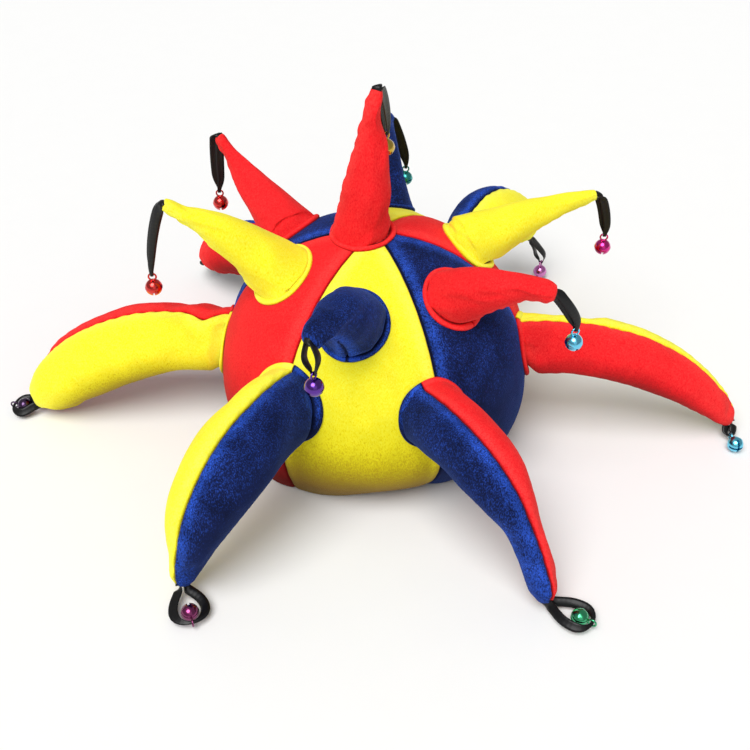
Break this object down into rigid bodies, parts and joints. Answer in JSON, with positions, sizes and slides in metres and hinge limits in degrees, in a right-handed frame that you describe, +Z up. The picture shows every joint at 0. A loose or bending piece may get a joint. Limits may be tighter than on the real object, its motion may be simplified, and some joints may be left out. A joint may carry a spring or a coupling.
{
  "type": "clown hat",
  "caption": "Soft jester hat of yellow, red and blue fleece gores with stuffed horns, long two-colour arms, ribbon loops and jingle bells, open below for a head.",
  "frame": {"origin": "middle of the rim, on the surface that the hat stands on", "axes": "+Z up through the top horn, -Y through the front yellow gore, +X to the right along the longest spread of the arms"},
  "size_m": [0.5227, 0.4004, 0.2554],
  "materials": {
    "fleece_yellow": "short plush nap",
    "fleece_red": "short plush nap",
    "fleece_blue": "short plush nap",
    "satin_black": "satin weave",
    "bell_gold": "lacquered, shiny",
    "bell_purple": "lacquered, shiny",
    "bell_sky": "lacquered, shiny",
    "bell_magenta": "lacquered, shiny",
    "bell_teal": "lacquered, shiny",
    "bell_red": "lacquered, shiny",
    "bell_plum": "lacquered, shiny",
    "bell_wine": "lacquered, shiny",
    "bell_green": "lacquered, shiny",
    "bell_cyan": "lacquered, shiny",
    "bell_pink": "lacquered, shiny"
  },
  "bodies": {
    "root": {"crown_panel_front": "fleece_yellow", "crown_panel_front_right": "fleece_blue", "crown_panel_back_right": "fleece_red", "crown_panel_back": "fleece_yellow", "crown_panel_back_left": "fleece_blue", "crown_panel_front_left": "fleece_red", "horn_top": "fleece_red", "horn_front": "fleece_blue", "horn_front_right": "fleece_red", "horn_back_right": "fleece_yellow", "horn_back": "fleece_blue", "horn_back_left": "fleece_red", "horn_front_left": "fleece_yellow", "arm_left_back": "fleece_red", "arm_left_front": "fleece_yellow", "arm_front_left_outer": "fleece_yellow", "arm_front_left_inner": "fleece_blue", "arm_front_right_inner": "fleece_blue", "arm_front_right_outer": "fleece_red", "arm_right_front": "fleece_red", "arm_right_back": "fleece_yellow", "arm_back_right_outer": "fleece_yellow", "arm_back_right_inner": "fleece_blue", "arm_back_left_inner": "fleece_blue", "arm_back_left_outer": "fleece_red", "ribbon_horn_top": "satin_black", "bell_horn_top": "bell_gold", "ribbon_horn_front": "satin_black", "bell_horn_front": "bell_purple", "ribbon_horn_front_right": "satin_black", "bell_horn_front_right": "bell_sky", "ribbon_horn_back_right": "satin_black", "bell_horn_back_right": "bell_magenta", "ribbon_horn_back": "satin_black", "bell_horn_back": "bell_teal", "ribbon_horn_back_left": "satin_black", "bell_horn_back_left": "bell_red", "ribbon_horn_front_left": "satin_black", "bell_horn_front_left": "bell_red", "ribbon_arm_left": "satin_black", "bell_arm_left": "bell_plum", "ribbon_arm_front_left": "satin_black", "bell_arm_front_left": "bell_wine", "ribbon_arm_front_right": "satin_black", "bell_arm_front_right": "bell_green", "ribbon_arm_right": "satin_black", "bell_arm_right": "bell_cyan", "ribbon_arm_back_right": "satin_black", "bell_arm_back_right": "bell_pink", "ribbon_arm_back_left": "satin_black", "bell_arm_back_left": "bell_gold"}
  },
  "joints": []
}
